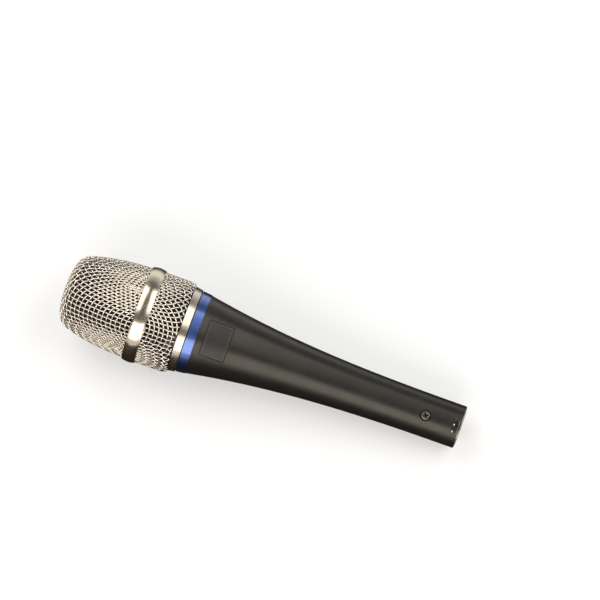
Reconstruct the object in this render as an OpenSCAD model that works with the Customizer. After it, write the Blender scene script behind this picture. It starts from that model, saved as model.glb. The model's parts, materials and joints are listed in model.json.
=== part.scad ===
// Handheld dynamic vocal microphone, lying on its side.
// Every piece is built upright along its own axis, z = 0 at the tail and the grille on
// top, and lay_down() then lays the whole microphone on the surface z = 0.

/* [Handle] */
// Length of the handle casting, from its tail to the trim ring
handle_len = 145.2; // [120:1:176]
// Outside diameter of the handle where it meets the trim ring
ring_end_d = 43; // [36:0.1:52]
// How late the handle flares: higher keeps it slim for longer
flare_power = 2.65; // [2.2:0.05:3.2]
// Wall of the handle casting
handle_wall = 2.4; // [2:0.1:2.9]
// Wall of the tail around the socket
tail_wall = 1.9; // [1.6:0.1:2.4]
// Chamfer around the tail's rim, inside and outside
tail_chamfer = 0.4; // [0.2:0.1:0.6]
// Turn of the name plate, screw and latch window away from straight up
roll_angle = 15; // [0:5:45]

/* [Name plate] */
// Distance from the trim ring to the middle of the plate
plate_inset = 10.7; // [10:0.1:30]
// Length of the plate along the handle
plate_len = 14; // [10:0.5:17]
// Width of the plate across the handle
plate_wide = 18.4; // [12:0.1:22.4]
// Corner radius of the plate
plate_corner = 2; // [1:0.5:4]
// Thickness of the plate, which is also the depth of its pocket
plate_thick = 0.4; // [0.3:0.1:0.6]

/* [Connector socket] */
// Inside diameter of the three-pin socket
socket_d = 19.2; // [18.7:0.1:19.6]
// How far the socket's mouth is opened out, on the radius
mouth_relief = 0.3; // [0.2:0.05:0.4]
// Depth of the opened mouth
mouth_depth = 2.5; // [2:0.1:2.7]
// Depth of the socket down to the insulator
socket_depth = 15.5; // [13:0.5:19]
// Thickness of the insulator
insulator_thick = 9; // [7.5:0.5:11]
// Distance of each contact from the socket's axis
contact_circle = 3.81; // [3.5:0.01:4.4]
// Diameter of a contact
contact_d = 2.4; // [2:0.1:2.8]
// How far the contacts' tips stand back from the rim
contact_recess = 2.8; // [2.8:0.1:5]
// Width of the key ridge in the socket
key_wide = 2; // [1.5:0.1:3]
// Height of the key ridge
key_high = 0.8; // [0.5:0.1:1]
// Width of the latch window across the tail
window_wide = 7.3; // [5:0.1:9]
// Length of the latch window along the tail
window_len = 3.1; // [2:0.1:5]
// Distance of the latch window from the rim
window_z = 1.3; // [1:0.1:3]

/* [Connector screw] */
// Diameter of the screw's head
screw_head_d = 4.4; // [3.6:0.1:5.3]
// Height of the screw's head
screw_head_h = 1; // [0.8:0.1:1.1]
// Diameter of the screw's shank
screw_d = 2; // [1.6:0.1:2.4]
// Depth of the shank in the insert
screw_bite = 2.4; // [2:0.1:2.9]
// Diameter of the sunk seat around the head
screw_seat_d = 6.1; // [5.5:0.1:7]
// Depth of the sunk seat
screw_seat_depth = 1.2; // [1:0.1:1.4]
// Outside diameter of the threaded insert that the screw bites
insert_d = 3.6; // [3:0.1:4.4]
// Length of the threaded insert
insert_len = 4.4; // [3.6:0.1:5]

/* [Neck] */
// Width of the handle's top face around the neck's thread
neck_land = 1.2; // [1:0.1:1.5]
// Length of the threaded neck above the handle
neck_len = 12.3; // [11:0.1:15]
// Wall of the neck around the front shock ring
neck_wall = 1.9; // [1.5:0.1:2.3]
// Step from the thread in to the sleeve's shank
shank_step = 1.7; // [1.4:0.1:2.1]
// Wall of the sleeve's shank
shank_wall = 1.4; // [1.1:0.1:1.7]
// Length of the sleeve's shank inside the handle
shank_len = 8; // [7:0.1:9.6]
// Height of the trim ring
trim_h = 4.8; // [4:0.1:5.8]
// How far the trim ring stands out from the handle
trim_step = 0.2; // [0.1:0.1:0.6]
// How far the trim ring widens towards the collar
trim_flare = 0.5; // [0.2:0.1:1]
// Thickness of the rubber seal between ring and collar
seal_thick = 0.4; // [0.3:0.1:1]

/* [Collar and mesh] */
// Height of the collar's visible cone
collar_h = 3.9; // [3:0.1:5]
// How far the collar stands out from the trim ring
collar_step = 0.3; // [0.1:0.1:0.8]
// How far the collar widens towards the mesh
collar_flare = 0.7; // [0.3:0.1:1]
// Wall of the collar's skirt inside the mesh
skirt_wall = 1.95; // [1.5:0.05:2.4]
// Height of the collar's skirt
skirt_h = 5.1; // [4:0.1:6.2]
// Diameter of the wire that the mesh is woven from
wire_d = 0.86; // [0.7:0.02:1.04]
// How far the rear basket stands out from the collar
rear_step = 1.75; // [1.6:0.05:2.4]
// Height of the rear basket that shows between collar and band
rear_h = 17.4; // [14:0.2:24]
// Height of the rounded edge where the rear basket meets the collar
rear_edge_h = 2.6; // [2:0.1:3.2]
// How far the rounded edge pulls in at the collar
rear_edge_in = 0.85; // [0.5:0.05:1.05]
// Height of the band between the baskets
band_h = 7.3; // [6:0.1:9]
// How far the band's edges stand out from the rear basket
band_step = 0.35; // [0.2:0.05:0.6]
// Wall of the band over the baskets' rims
band_wall = 0.6; // [0.4:0.05:0.8]
// How far the band's crown stands out past its edges
band_crown = 0.7; // [0.3:0.1:1.5]
// Thickness of the rib inside the band, between the baskets' rims
rib_thick = 0.5; // [0.4:0.1:1]
// Height of the front basket above the band
front_h = 40; // [32:1:52]
// How much the front basket narrows towards its nose
front_taper = 0.27; // [0.1:0.01:0.33]
// How square the nose of the front basket is
nose_square = 18; // [12:1:24]
// Thickness of the foam inside the baskets
foam_thick = 2.5; // [1.5:0.1:3]

/* [Capsule] */
// Distance from the handle's top face to the front of the capsule
capsule_rise = 50.8; // [49:0.1:56]
// Distance from the neck's ledge down to the back of the capsule
capsule_drop = 3.5; // [3:0.1:4.2]
// Wall of the shock rings around the capsule
shock_wall = 1.7; // [1.4:0.1:2.1]
// Wall of the capsule housing
capsule_wall = 1; // [0.8:0.1:1.2]
// How far the housing's bead stands out into the front shock ring
bead_step = 1.1; // [0.6:0.1:1.3]
// Thickness of the holed front of the resonator cap
cap_plate = 1.5; // [1.2:0.1:1.8]
// Height of the resonator cap's rim
cap_rim = 5; // [4.4:0.1:6]
// Number of sound holes around the resonator cap
cap_holes = 8; // [6:1:8]
// Diameter of each sound hole
cap_hole_d = 4.4; // [3:0.1:5.2]
// Thickness of the dust screen
screen_thick = 0.4; // [0.2:0.1:0.6]
// Width of the ring that clamps the diaphragm's rim
clamp_wide = 1.45; // [1.2:0.05:1.7]
// Thickness of the diaphragm's film
film_thick = 0.2; // [0.15:0.05:0.25]
// Height of the diaphragm's centre dome
dome_h = 2.3; // [1.5:0.1:2.7]
// Thickness of the voice coil's winding
coil_thick = 0.5; // [0.4:0.1:0.6]
// Height of the voice coil
coil_h = 4.8; // [4:0.1:5.8]
// Width of the pole ring around the voice coil
pole_wide = 3.5; // [3:0.1:4.2]
// Thickness of the pole ring and the pole plate
pole_thick = 3; // [2.5:0.1:3.6]
// Thickness of the magnet
magnet_thick = 5.4; // [5:0.1:6.5]
// Wall of the yoke cup
yoke_wall = 2.6; // [2.2:0.1:3.1]
// Thickness of the yoke cup's floor
yoke_floor = 3; // [2.5:0.1:3.6]
// Wall of the frame around the yoke cup
frame_wall = 2; // [1.7:0.1:2.4]
// Height of the hum-bucking coil
hum_coil_h = 5; // [4:0.1:6]
// Thickness of the acoustic felt
felt_thick = 2; // [1.6:0.1:2.4]
// Thickness of the terminal board
board_thick = 1.6; // [1.2:0.1:2]
// Distance of each solder lug from the capsule's axis
lug_offset = 5; // [4:0.1:6]

/* [Fits] */
// Radial clearance of the turning thread
thread_gap = 0.05; // [0.03:0.01:0.08]
// Clearance between pieces that are pressed or glued together
seat_gap = 0.05; // [0.02:0.01:0.06]
// Clearance of the insulator in the socket
insulator_gap = 0.1; // [0.05:0.01:0.15]
// Gap on each side of the voice coil
coil_gap = 0.3; // [0.2:0.05:0.35]
// Gap between the diaphragm's free edge and its clamp ring
edge_gap = 0.2; // [0.1:0.05:0.3]
// Gap between the foam and the wires around it
foam_gap = 0.5; // [0.3:0.1:0.8]

/* [Internal leads] */
// Diameter of a lead over its insulation
lead_d = 1.4; // [1:0.1:1.6]
// How far the leads bow away from a straight run
lead_bow = 5; // [2:0.5:6]

/* [Hidden] */
$fn = 96;

// cuts and overshoots
over = 1;
steps = 28;

// handle outline
socket_r = socket_d / 2;
mouth_r = socket_r + mouth_relief;
tail_r = socket_r + tail_wall;
ring_end_r = ring_end_d / 2;
insulator_r = socket_r - insulator_gap;
insulator_end = socket_depth + insulator_thick;
stop_in = 0.4;
stop_len = 3;
window_corner = 0.6;
stop_r = socket_r - stop_in;
stop_end = insulator_end + stop_len;
plate_z = handle_len - plate_inset;
function flare_r(z) = tail_r + (ring_end_r - tail_r) * pow(z / handle_len, flare_power);
function bore_r(z) = max(stop_r, flare_r(z) - handle_wall);
function spread(low, high) = [for (i = [0:steps]) low + (high - low) * i / steps];

// neck
thread_r = ring_end_r - neck_land;
shank_r = thread_r - shank_step;
neck_r = shank_r - shank_wall;
cup_r = thread_r - neck_wall;
shank_z = handle_len - shank_len;
neck_top = handle_len + neck_len;
ledge_z = handle_len + trim_h;
capsule_r = neck_r - shock_wall;
lip_wide = 0.5;
lip_r = capsule_r + lip_wide;
lip_h = 2;
trim_low_r = ring_end_r + trim_step;
trim_high_r = trim_low_r + trim_flare;
collar_low_r = trim_high_r + collar_step;
collar_high_r = collar_low_r + collar_flare;

// stack of the head, upwards from the trim ring
seal_z = handle_len + trim_h + seat_gap;
collar_z = seal_z + seal_thick + seat_gap;
rear_z = collar_z + collar_h;
band_z = rear_z + rear_h;
front_z = band_z + band_h;
rib_z = band_z + (band_h - rib_thick) / 2;
collar_bore_r = thread_r + thread_gap;
skirt_r = collar_bore_r + skirt_wall;
rear_r = collar_high_r + rear_step;
band_r = rear_r + band_step;
band_inner_r = band_r - band_wall;
front_r = band_inner_r - seat_gap;
mesh_thick = 2 * wire_d;

// outline of the front basket: h is its height, r its radius at the band
nose_power = 0.45;
function nose_r(s, r) = r * (1 - front_taper * s * s) * pow(max(0, 1 - pow(s, nose_square)), nose_power);
function nose(r, h, z) = [
  for (i = [0:steps]) let (s = 1 - pow(1 - i / steps, 2)) [nose_r(s, r), z + h * s]
];

// outline of the rear basket, from its rounded edge to the band
function edge_r(z) =
  rear_r - rear_edge_in * (1 - sqrt(max(0, 1 - pow(max(0, rear_z + rear_edge_h - z) / rear_edge_h, 2))));
rear_outline = concat(
  [for (z = [rear_z:rear_edge_h / 8:rear_z + rear_edge_h]) [edge_r(z), z]],
  [[rear_r, band_z - seat_gap], [front_r, band_z - seat_gap]]
);

// the band bulges as one arc between its edges
crown_radius = (pow(band_h / 2, 2) + pow(band_crown, 2)) / (2 * band_crown);
function crown_r(z) =
  band_r + band_crown - crown_radius + sqrt(pow(crown_radius, 2) - pow(z - band_z - band_h / 2, 2));

// how the microphone lies: on its tail's rim and on the rear basket's edge
outline = concat(
  [[tail_r - tail_chamfer, 0], [tail_r, tail_chamfer]],
  [for (z = spread(tail_chamfer + over, handle_len)) [flare_r(z), z]],
  rear_outline,
  [for (z = spread(band_z, front_z)) [crown_r(z), z]],
  nose(front_r, front_h, front_z)
);
tilt = max([
  for (p = outline) if (p[1] > handle_len) atan((p[0] - tail_r) / (p[1] - tail_chamfer))
]);
rest_z = tail_r * cos(tilt) - tail_chamfer * sin(tilt);
x_high = max([for (p = outline) -p[1] * cos(tilt) + p[0] * sin(tilt)]);
x_low = min([for (p = outline) -p[1] * cos(tilt) - p[0] * sin(tilt)]);

// capsule stack, downwards from its front
capsule_top = handle_len + capsule_rise;
capsule_bore_r = capsule_r - capsule_wall;
liner_r = capsule_bore_r - seat_gap;
cap_z = capsule_top - cap_rim;
screen_z = capsule_top - cap_plate - screen_thick;
spigot_h = 2.3;
spigot_wall = 0.9;
clamp_h = 1.2;
clamp_z = cap_z - spigot_h - seat_gap - clamp_h;
pole_z = clamp_z - pole_thick;
magnet_z = pole_z - magnet_thick;
yoke_z = magnet_z - yoke_floor;
frame_lip = 1.6;
frame_z = yoke_z - frame_lip;
hum_z = frame_z - hum_coil_h;
felt_z = hum_z - felt_thick;
housing_z = ledge_z - capsule_drop;
board_z = housing_z + board_thick;
board_lip = 0.9;
bead_z = ledge_z + 3;
bead_h = 1.2;
bead_r = capsule_r + bead_step;

// magnet system, inwards from the housing
clamp_bore_r = liner_r - clamp_wide;
diaphragm_r = clamp_bore_r - edge_gap;
yoke_r = liner_r - frame_wall - seat_gap;
yoke_bore_r = yoke_r - yoke_wall;
pole_bore_r = yoke_r - pole_wide;
coil_outer_r = pole_bore_r - coil_gap;
coil_r = coil_outer_r - coil_thick;
pole_plate_r = coil_r - coil_gap;
magnet_inset = 0.2;
magnet_r = pole_plate_r - magnet_inset;
coil_top = clamp_z + 1;

// solder lugs and contacts: [name, turn about the socket's axis]
lug_len = 4.5;
lug_r = 0.8;
lug_end = housing_z - lug_len;
contact_turns = [["ground", 90], ["hot", -90], ["cold", 180]];
contact_r = contact_d / 2;
seat_step = 0.25;
contact_seat_r = contact_r + seat_step;
contact_collar_r = contact_r + 2 * seat_step;
contact_tip = 0.8;
contact_collar_h = 1.4;
cup_len = 4;
cup_wall = 0.35;
cup_base = insulator_end + contact_collar_h;
cup_end = cup_base + cup_len;
tag_thick = 0.4;
tag_rim = 0.4;
tag_wide = 2 * (contact_collar_r + tag_rim);
leaf_wide = 3.6;
leaf_high = 6;
tag_reach = bore_r(insulator_end) - 4 * seat_gap;

// connector screw
screw_drop = 0.5;
screw_z = socket_depth + insulator_thick / 2 - screw_drop;
screw_seat_r = tail_r - screw_seat_depth;
insert_sink = 0.3;
insert_out_r = insulator_r - insert_sink;
insert_in_r = insert_out_r - insert_len;
screw_len = screw_seat_r - insert_out_r + screw_bite;

// Lays the upright microphone down, grille towards -X, window and name plate upwards.
module lay_down() {
  translate([-(x_high + x_low) / 2, 0, rest_z])
    rotate([0, tilt - 90, 0]) rotate([0, 0, -roll_angle]) children();
}

// A ring or tube: bore radius a, outside radius b, from low to high.
module tube(a, b, low, high) {
  translate([0, 0, low]) difference() {
    cylinder(r = b, h = high - low);
    translate([0, 0, -over]) cylinder(r = a, h = high - low + 2 * over);
  }
}

module rod(r, low, high) {
  translate([0, 0, low]) cylinder(r = r, h = high - low);
}

// A flat outline with four round corners, centred.
module rounded_rectangle(wide, long, corner) {
  square([wide - 2 * corner, long], center = true);
  square([wide, long - 2 * corner], center = true);
  for (x = [-1, 1], y = [-1, 1])
    translate([x * (wide / 2 - corner), y * (long / 2 - corner)]) circle(r = corner);
}

// A block with a rounded outline, reaching outwards from the axis at height z.
module outward_block(wide, long, corner, z) {
  translate([0, 0, z]) rotate([90, 0, 90])
    linear_extrude(ring_end_d) rounded_rectangle(wide, long, corner);
}

// The flared surface of the handle, moved inwards by depth, between two heights.
module flare_solid(depth, low, high) {
  rotate_extrude() polygon(concat(
    [[0, low]], [for (z = spread(low, high)) [flare_r(z) - depth, z]], [[0, high]]
  ));
}

module handle_shell() {
  inner = spread(stop_end, shank_z - seat_gap);
  color("#1c1b1a") lay_down() difference() {
    rotate_extrude() polygon(concat(
      [[mouth_r + tail_chamfer, 0], [tail_r - tail_chamfer, 0], [tail_r, tail_chamfer]],
      [for (z = spread(tail_chamfer + over, handle_len)) [flare_r(z), z]],
      [[shank_r + seat_gap, handle_len], [shank_r + seat_gap, shank_z - seat_gap]],
      [for (i = [steps:-1:0]) [bore_r(inner[i]), inner[i]]],
      [[stop_r, stop_end - seat_gap], [stop_r, insulator_end + seat_gap],
       [socket_r, insulator_end + seat_gap], [socket_r, mouth_depth],
       [mouth_r, mouth_depth], [mouth_r, tail_chamfer]]
    ));
    outward_block(window_wide, window_len, window_corner, window_z + window_len / 2);
    translate([screw_seat_r, 0, screw_z]) rotate([0, 90, 0]) {
      cylinder(d = screw_seat_d, h = tail_r);
      translate([0, 0, -tail_r / 2]) cylinder(d = screw_d + 4 * seat_gap, h = tail_r);
    }
    plate_pocket(0);
  }
}

// The space between the handle's surface and a depth under it, in the plate's outline.
module plate_pocket(gap) {
  low = plate_z - plate_len;
  high = min(plate_z + plate_len, handle_len);
  intersection() {
    outward_block(plate_wide - 2 * gap, plate_len - 2 * gap, plate_corner, plate_z);
    difference() {
      flare_solid(gap > 0 ? 0 : -over, low, high);
      flare_solid(plate_thick - gap, low - over, high + over);
    }
  }
}

module name_plate() {
  color("#2a2a2b") lay_down() plate_pocket(seat_gap);
}

module trim_ring() {
  bore = thread_r + seat_gap;
  top = handle_len + trim_h;
  color("#2f55b0") lay_down() rotate_extrude() polygon([
    [bore, handle_len], [trim_low_r, handle_len], [trim_high_r, top], [bore, top]
  ]);
}

// Pressed into the handle: it carries the head's thread and the capsule's shock rings.
module thread_sleeve() {
  color("#b9b3a6") lay_down() rotate_extrude() polygon([
    [lip_r, shank_z], [shank_r, shank_z], [shank_r, handle_len], [thread_r, handle_len],
    [thread_r, neck_top], [cup_r, neck_top], [cup_r, ledge_z], [neck_r, ledge_z],
    [neck_r, housing_z - lip_h], [lip_r, housing_z - lip_h]
  ]);
}

module seal_ring() {
  color("#151515") lay_down()
    tube(thread_r + 3 * thread_gap, ring_end_r, seal_z, seal_z + seal_thick);
}

module head_collar() {
  top = rear_z + skirt_h;
  color("#c9c2b4") lay_down() rotate_extrude() polygon([
    [collar_bore_r, collar_z], [collar_low_r, collar_z], [collar_high_r, rear_z],
    [skirt_r, rear_z], [skirt_r, top], [collar_bore_r, top]
  ]);
}

// The baskets are woven wire; here each is a shell of the weave's own thickness.
module rear_basket() {
  bottom = rear_z + seat_gap;
  color("#c8c0ac") lay_down() rotate_extrude() polygon(concat(
    [[skirt_r + seat_gap, bottom], [edge_r(rear_z), bottom]],
    [for (p = rear_outline) if (p[1] > bottom) p],
    [[front_r, rib_z - seat_gap], [front_r - mesh_thick, rib_z - seat_gap],
     [front_r - mesh_thick, band_z - mesh_thick], [rear_r - mesh_thick, band_z - 2 * mesh_thick],
     [rear_r - mesh_thick, rear_z + rear_edge_h], [skirt_r + seat_gap, rear_z + rear_edge_h / 2]]
  ));
}

module grille_band() {
  color("#cfc9bd") lay_down() rotate_extrude() polygon(concat(
    [[band_inner_r, band_z]],
    [for (z = spread(band_z, front_z)) [crown_r(z), z]],
    [[band_inner_r, front_z], [band_inner_r, rib_z + rib_thick],
     [front_r - mesh_thick, rib_z + rib_thick], [front_r - mesh_thick, rib_z], [band_inner_r, rib_z]]
  ));
}

module front_basket() {
  rim = rib_z + rib_thick + seat_gap;
  inner = nose(front_r - mesh_thick, front_h - mesh_thick, front_z);
  color("#c8c0ac") lay_down() rotate_extrude() polygon(concat(
    [[front_r - mesh_thick, rim], [front_r, rim]],
    nose(front_r, front_h, front_z),
    [for (i = [steps:-1:0]) inner[i]]
  ));
}

module foam_liner() {
  outer_r = front_r - mesh_thick - foam_gap;
  outer_h = front_h - mesh_thick - foam_gap;
  bottom = rear_z + skirt_h + foam_gap;
  inner = nose(outer_r - foam_thick, outer_h - foam_thick, front_z);
  color("#141414") lay_down() rotate_extrude() polygon(concat(
    [[outer_r - foam_thick, bottom], [outer_r, bottom]],
    nose(outer_r, outer_h, front_z),
    [for (i = [steps:-1:0]) inner[i]]
  ));
}

// --- connector ---

module connector_insulator() {
  color("#161616") lay_down() difference() {
    union() {
      rod(insulator_r, socket_depth, insulator_end);
      intersection() {
        rod(insulator_r, mouth_depth + over, socket_depth + over);
        translate([-insulator_r, -key_wide / 2, 0]) cube([key_high, key_wide, insulator_end]);
      }
    }
    for (c = contact_turns) rotate([0, 0, c[1]]) translate([contact_circle, 0, 0])
      rod(contact_seat_r + seat_gap / 2, socket_depth - over, insulator_end + over);
    translate([insert_in_r, 0, screw_z]) rotate([0, 90, 0])
      cylinder(d = insert_d + seat_gap, h = socket_r);
  }
}

// A turned contact: exposed pin, thicker seat in the insulator, collar and solder cup.
module contact(turn) {
  tip = contact_recess + contact_tip;
  bore_base = cup_base + cup_len / 5;
  slot_base = cup_base + 2 * cup_len / 5;
  color("#d9b04a") lay_down() rotate([0, 0, turn]) translate([contact_circle, 0, 0]) difference() {
    union() {
      rotate_extrude() polygon(concat(
        [[0, contact_recess], [contact_r / 2, contact_recess]],
        [for (a = [15:15:90]) [contact_r * (1 + sin(a)) / 2, tip - contact_tip * cos(a)]],
        [[contact_r, socket_depth], [0, socket_depth]]
      ));
      rod(contact_seat_r, socket_depth, insulator_end);
      rod(contact_collar_r, insulator_end, cup_base);
      rod(contact_seat_r, cup_base, cup_end);
    }
    rod(contact_seat_r - cup_wall, bore_base, cup_end + over);
    translate([0, -contact_d, slot_base]) cube([contact_d, 2 * contact_d, cup_len]);
  }
}

module ground_contact() contact(contact_turns[0][1]);
module hot_contact() contact(contact_turns[1][1]);
module cold_contact() contact(contact_turns[2][1]);

// A plate around the ground contact's collar, with a leaf against the inside of the handle.
module ground_tag() {
  base = insulator_end + seat_gap;
  inner = contact_circle - tag_wide / 2;
  color("#b08d4a") lay_down() rotate([0, 0, contact_turns[0][1]]) difference() {
    intersection() {
      union() {
        translate([inner, -tag_wide / 2, base]) cube([tag_reach - inner, tag_wide, tag_thick]);
        translate([tag_reach - tag_thick, -leaf_wide / 2, base])
          cube([tag_thick, leaf_wide, leaf_high]);
      }
      rod(tag_reach, base - over, base + leaf_high + over);
    }
    translate([contact_circle, 0, 0])
      rod(contact_collar_r + seat_gap, base - over, base + tag_thick + over);
  }
}

module connector_screw() {
  cross_len = 0.64 * screw_head_d;
  cross_wide = 0.6;
  cross_base = 0.4 * screw_head_h;
  cross_turn = 30;
  color("#9a8f7c") lay_down() translate([screw_seat_r + seat_gap, 0, screw_z]) rotate([0, 90, 0])
    difference() {
      union() {
        cylinder(d = screw_head_d, h = screw_head_h);
        translate([0, 0, -screw_len]) cylinder(d = screw_d, h = screw_len);
      }
      for (a = [0, 90]) rotate([0, 0, a + cross_turn])
        translate([-cross_len / 2, -cross_wide / 2, cross_base])
          cube([cross_len, cross_wide, screw_head_h]);
    }
}

module screw_insert() {
  color("#b08d4a") lay_down() translate([insert_in_r + seat_gap, 0, screw_z]) rotate([0, 90, 0])
    difference() {
      cylinder(d = insert_d, h = insert_len - seat_gap);
      translate([0, 0, -over]) cylinder(d = screw_d + seat_gap, h = insert_len + 2 * over);
    }
}

// --- internal leads ---

// A lead from one point up to another, bowing sideways and ending square at both ends.
module lead(from, to, bow) {
  rings = 16;
  sides = 8;
  points = [
    for (i = [0:rings]) let (t = i / rings, ease = t * t * (3 - 2 * t), swing = sin(180 * t) * sin(180 * t))
      for (j = [0:sides - 1]) let (a = 360 * j / sides) [
        from[0] + (to[0] - from[0]) * ease + bow[0] * swing + lead_d / 2 * cos(a),
        from[1] + (to[1] - from[1]) * ease + bow[1] * swing + lead_d / 2 * sin(a),
        from[2] + (to[2] - from[2]) * t
      ]
  ];
  faces = concat(
    [[for (j = [0:sides - 1]) j]],
    [for (i = [0:rings - 1], j = [0:sides - 1]) let (k = (j + 1) % sides)
      [i * sides + j, (i + 1) * sides + j, (i + 1) * sides + k, i * sides + k]],
    [[for (j = [sides - 1:-1:0]) rings * sides + j]]
  );
  lay_down() polyhedron(points, faces);
}

module hot_lead() {
  color("#b3262b") lead([0, -contact_circle, cup_end + seat_gap],
    [0, -lug_offset, lug_end - seat_gap], [0, -lead_bow]);
}

module cold_lead() {
  color("#d8d4c8") lead([-contact_circle, 0, cup_end + seat_gap],
    [0, lug_offset, lug_end - seat_gap], [-lead_bow / 2, lead_bow]);
}

// A short loop from the ground contact's cup to the tag's leaf.
module ground_lead() {
  span = tag_reach - tag_thick - contact_circle - lead_d / 2 - seat_gap;
  color("#2f7d3a") lay_down() rotate([0, 0, contact_turns[0][1]])
    translate([contact_circle + span / 2, 0, cup_end + seat_gap]) rotate([90, 0, 0])
      rotate_extrude(angle = 180) translate([span / 2, 0]) circle(d = lead_d);
}

// --- shock rings ---

module front_shock_ring() {
  rim_h = 1.2;
  rim_in = 0.3;
  top = neck_top + rim_h;
  rim_r = thread_r - rim_in;
  inner = capsule_r + seat_gap;
  groove = bead_r + seat_gap;
  color("#202020") lay_down() rotate_extrude() polygon([
    [inner, ledge_z + seat_gap], [cup_r - seat_gap, ledge_z + seat_gap],
    [cup_r - seat_gap, neck_top + seat_gap], [rim_r, neck_top + seat_gap], [rim_r, top],
    [inner, top], [inner, bead_z + bead_h + seat_gap], [groove, bead_z + bead_h + seat_gap],
    [groove, bead_z - seat_gap], [inner, bead_z - seat_gap]
  ]);
}

module rear_shock_ring() {
  bottom = housing_z - lip_h + seat_gap;
  hole_in = 1.5;
  hole_r = capsule_bore_r - hole_in;
  color("#202020") lay_down() rotate_extrude() polygon([
    [hole_r, bottom], [neck_r - seat_gap, bottom], [neck_r - seat_gap, ledge_z - over],
    [capsule_r + seat_gap, ledge_z - over], [capsule_r + seat_gap, housing_z - seat_gap],
    [hole_r, housing_z - seat_gap]
  ]);
}

// --- capsule ---

module capsule_housing() {
  slots = 8;
  slot_wide = 5;
  slot_high = 3;
  stop = capsule_bore_r - 1;
  color("#a9adb0") lay_down() difference() {
    rotate_extrude() polygon([
      [capsule_bore_r, housing_z], [capsule_r, housing_z], [capsule_r, bead_z],
      [bead_r, bead_z], [bead_r, bead_z + bead_h], [capsule_r, bead_z + bead_h],
      [capsule_r, cap_z], [capsule_bore_r, cap_z], [capsule_bore_r, board_z + board_lip],
      [stop, board_z + board_lip], [stop, board_z], [capsule_bore_r, board_z]
    ]);
    for (i = [0:slots - 1]) rotate([0, 0, 360 * i / slots])
      translate([capsule_bore_r - over, -slot_wide / 2, felt_z - 2 * slot_high])
        cube([capsule_wall + 2 * over, slot_wide, slot_high]);
  }
}

module resonator_cap() {
  bevel = 1;
  hole_circle = 0.6 * capsule_r;
  color("#1d1d1f") lay_down() difference() {
    union() {
      rod(capsule_r, cap_z, capsule_top - bevel);
      translate([0, 0, capsule_top - bevel]) cylinder(r1 = capsule_r, r2 = capsule_r - bevel, h = bevel);
      rod(liner_r, cap_z - spigot_h, cap_z);
    }
    rod(liner_r - spigot_wall, cap_z - spigot_h - over, capsule_top - cap_plate);
    rod(cap_hole_d / 2, cap_z, capsule_top + over);
    for (i = [0:cap_holes - 1]) rotate([0, 0, 360 * i / cap_holes])
      translate([hole_circle, 0, 0]) rod(cap_hole_d / 2, cap_z, capsule_top + over);
  }
}

module dust_screen() {
  color("#6f7275") lay_down() rod(liner_r - spigot_wall - seat_gap, screen_z, screen_z + screen_thick);
}

module clamp_ring() {
  color("#b08d4a") lay_down() tube(clamp_bore_r, liner_r, clamp_z, clamp_z + clamp_h);
}

module pole_ring() {
  color("#8d9194") lay_down() tube(pole_bore_r, yoke_r, pole_z, clamp_z);
}

module pole_plate() {
  color("#8d9194") lay_down() rod(pole_plate_r, pole_z, clamp_z);
}

module magnet() {
  color("#75797c") lay_down() rod(magnet_r, magnet_z, pole_z);
}

module yoke_cup() {
  color("#8d9194") lay_down() difference() {
    rod(yoke_r, yoke_z, pole_z);
    rod(yoke_bore_r, magnet_z, pole_z + over);
  }
}

// A moulded carrier that holds the magnet system in the housing, with air slots.
module magnet_frame() {
  slots = 6;
  slot_wide = 4;
  slot_in = 0.8;
  color("#2b2b2e") lay_down() difference() {
    rod(liner_r, frame_z, clamp_z);
    rod(yoke_r + seat_gap, yoke_z, clamp_z + over);
    rod(yoke_bore_r, frame_z - over, clamp_z);
    for (i = [0:slots - 1]) rotate([0, 0, 360 * i / slots])
      translate([yoke_r + slot_in, -slot_wide / 2, frame_z - over])
        cube([frame_wall + over, slot_wide, clamp_z - frame_z + 2 * over]);
  }
}

module hum_coil() {
  flange = 0.8;
  bore_in = 2;
  wire_in = 1.2;
  bore = yoke_bore_r - bore_in;
  wire_r = liner_r - wire_in;
  color("#9c5a2c") lay_down() rotate_extrude() polygon([
    [bore, hum_z], [liner_r, hum_z], [liner_r, hum_z + flange], [wire_r, hum_z + flange],
    [wire_r, frame_z - flange], [liner_r, frame_z - flange], [liner_r, frame_z], [bore, frame_z]
  ]);
}

module acoustic_felt() {
  color("#5b5a55") lay_down() rod(liner_r, felt_z, hum_z);
}

module terminal_board() {
  color("#2e5a35") lay_down() difference() {
    rod(liner_r, housing_z, board_z - seat_gap);
    for (y = [-1, 1]) translate([0, y * lug_offset, 0])
      rod(lug_r + seat_gap, housing_z - over, board_z + over);
  }
}

module solder_lugs() {
  color("#c9c9c4") lay_down() for (y = [-1, 1]) translate([0, y * lug_offset, 0]) {
    rod(lug_r, lug_end, board_z + over);
    rod(2 * lug_r, board_z, board_z + over);
  }
}

// A centre dome on the coil, then a half-round surround out to a free edge.
module diaphragm() {
  flat = 0.6;
  roll_rise = 0.45;
  roll_r = (diaphragm_r - flat - coil_outer_r) / 2;
  roll_mid = coil_outer_r + roll_r;
  function skin(lift) = concat(
    [for (a = [0:9:90]) [coil_r * sin(a), coil_top + dome_h * cos(a) + lift]],
    [for (a = [180:-15:0]) [roll_mid + roll_r * cos(a), coil_top + roll_rise * roll_r * sin(a) + lift]],
    [[diaphragm_r, coil_top + lift]]
  );
  under = skin(0);
  color("#c9b48a") lay_down() rotate_extrude() polygon(concat(
    skin(film_thick), [for (i = [len(under) - 1:-1:0]) under[i]]
  ));
}

module voice_coil() {
  color("#a8602e") lay_down() tube(coil_r, coil_outer_r, coil_top - coil_h, coil_top - seat_gap / 5);
}

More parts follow.
